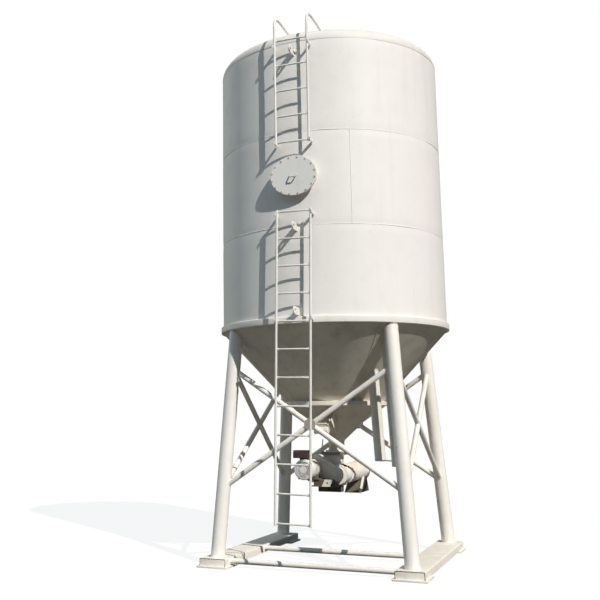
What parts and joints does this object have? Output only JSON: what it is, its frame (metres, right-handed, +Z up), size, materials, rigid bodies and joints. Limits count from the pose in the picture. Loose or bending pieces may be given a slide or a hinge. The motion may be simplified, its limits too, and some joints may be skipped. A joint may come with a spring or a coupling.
{
  "type": "cement silo",
  "caption": "Upright welded steel silo for bulk powder on four raked legs, with ladders, a manway, lifting lugs and a screw feeder under its cone.",
  "frame": {"origin": "on the ground, in the middle of the part's box; the upright axis of the shell stands 89 mm towards +Y", "axes": "+Z up, -Y towards the ladder and the manway, +X to the right of someone who faces the ladder"},
  "size_m": [2.7538, 2.9319, 6.2604],
  "materials": {
    "cream_paint": "weathered satin",
    "weathered_grey_paint": "weathered matt",
    "motor_grey_paint": "satin",
    "dark_steel": "dusty",
    "grey_steel": "dusty"
  },
  "bodies": {
    "root": {"base_ring": "cream_paint", "belt_guard": "cream_paint", "bottom_lifting_lug": "cream_paint", "brace_discs": "dark_steel", "brace_halves": "cream_paint", "cone_band": "cream_paint", "feeder_motor": "motor_grey_paint", "feeder_tube": "cream_paint", "fill_pipe": "cream_paint", "foot_plates": "cream_paint", "front_cross_rail": "cream_paint", "inlet_box": "cream_paint", "left_side_beam": "cream_paint", "leg_back_left": "cream_paint", "leg_back_right": "cream_paint", "leg_front_left": "cream_paint", "leg_front_right": "cream_paint", "long_braces": "cream_paint", "lower_cone": "cream_paint", "lower_ladder_brackets": "cream_paint", "lower_ladder_rails": "cream_paint", "lower_ladder_rungs": "cream_paint", "manway_cover": "weathered_grey_paint", "manway_handle": "cream_paint", "manway_neck": "cream_paint", "middle_cross_rail": "cream_paint", "middle_lifting_lug": "cream_paint", "motor_base": "dark_steel", "outlet_chute": "grey_steel", "pipe_bracket": "cream_paint", "right_side_beam": "cream_paint", "roof": "cream_paint", "shell_lower_course": "cream_paint", "shell_middle_course": "cream_paint", "shell_upper_course": "cream_paint", "slide_valve": "dark_steel", "top_lifting_lug": "cream_paint", "upper_cone": "cream_paint", "upper_ladder_brackets": "cream_paint", "upper_ladder_rails": "cream_paint", "upper_ladder_rungs": "cream_paint", "valve_lever": "cream_paint", "vent_pipe": "cream_paint", "vibrator": "dark_steel", "vibrator_mount": "dark_steel"}
  },
  "joints": []
}
